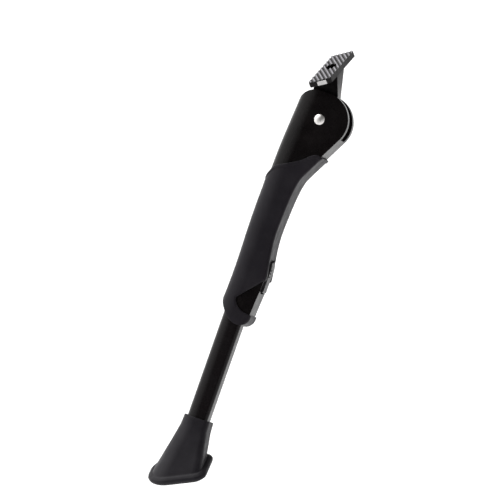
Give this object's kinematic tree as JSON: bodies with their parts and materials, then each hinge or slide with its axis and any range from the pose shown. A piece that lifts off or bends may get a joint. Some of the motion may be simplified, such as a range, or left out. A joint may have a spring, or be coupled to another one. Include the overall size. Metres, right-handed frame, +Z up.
{
  "type": "bicycle kickstand",
  "caption": "Centre-mount bicycle kickstand: ribbed clamp plate, swing leg with spring detent, telescoping lower leg with a thumb latch, and a rubber foot.",
  "frame": {"origin": "on the clamp bolt's axis at the top of the clamp plate", "axes": "+Z up along the clamp bolt, +X towards the front of the bicycle, +Y to its left, the side where the leg stands out"},
  "size_m": [0.212, 0.1979, 0.2326],
  "materials": {
    "black_cast_alloy": "satin",
    "black_gloss_alloy": "gloss",
    "bright_steel": "satin",
    "spring_steel": "satin",
    "hard_steel": "ground",
    "sintered_bronze": "sintered",
    "nylon_washer": "natural",
    "charcoal_rubber": "soft matt",
    "black_nylon": "moulded",
    "black_anodised": "anodised",
    "zinc_screw": "zinc plated",
    "tread_rubber": "worn matt"
  },
  "bodies": {
    "mount": {"mount_head": "black_cast_alloy", "edge_key": "bright_steel", "pivot_bush": "sintered_bronze"},
    "upper_leg": {"upper_leg": "black_gloss_alloy", "pivot_pin": "bright_steel", "thrust_washer_outer": "nylon_washer", "thrust_washer_inner": "nylon_washer", "rivet_washer": "bright_steel", "detent_spring": "spring_steel", "grip_cover": "charcoal_rubber", "latch_pin": "bright_steel", "latch_spring": "spring_steel", "mouth_bush": "black_nylon"},
    "plunger": {"detent_plunger": "hard_steel"},
    "latch": {"latch_pawl": "hard_steel", "release_pad": "black_nylon"},
    "lower_leg": {"lower_leg": "black_anodised", "guide_plug": "black_nylon", "foot": "charcoal_rubber", "foot_core": "black_nylon", "foot_screw": "zinc_screw", "tread_pad": "tread_rubber"}
  },
  "joints": [
    {"name": "leg_swing", "type": "hinge", "parent": "mount", "child": "upper_leg", "pos_m": [0.015, 0.021, -0.0333], "axis": [-0.129, 0.8633, 0.4879], "range_deg": [0, 98]},
    {"name": "leg_length", "type": "slide", "parent": "upper_leg", "child": "lower_leg", "axis": [0.52, 0.4778, -0.708], "range_m": [-0.024, 0.016]},
    {"name": "detent_travel", "type": "slide", "parent": "upper_leg", "child": "plunger", "axis": [-0.6325, -0.4506, 0.63], "range_m": [0, 0.0018], "stiffness_N_per_m": 400, "springref_m": 0.01, "deforming": ["detent_spring"]},
    {"name": "length_release", "type": "hinge", "parent": "upper_leg", "child": "latch", "pos_m": [0.08375, 0.08116, -0.12158], "axis": [0.129, -0.8633, -0.4879], "range_deg": [0, 8], "stiffness_Nm_per_rad": 0.01, "springref_deg": 28.65, "deforming": ["latch_spring"]}
  ]
}
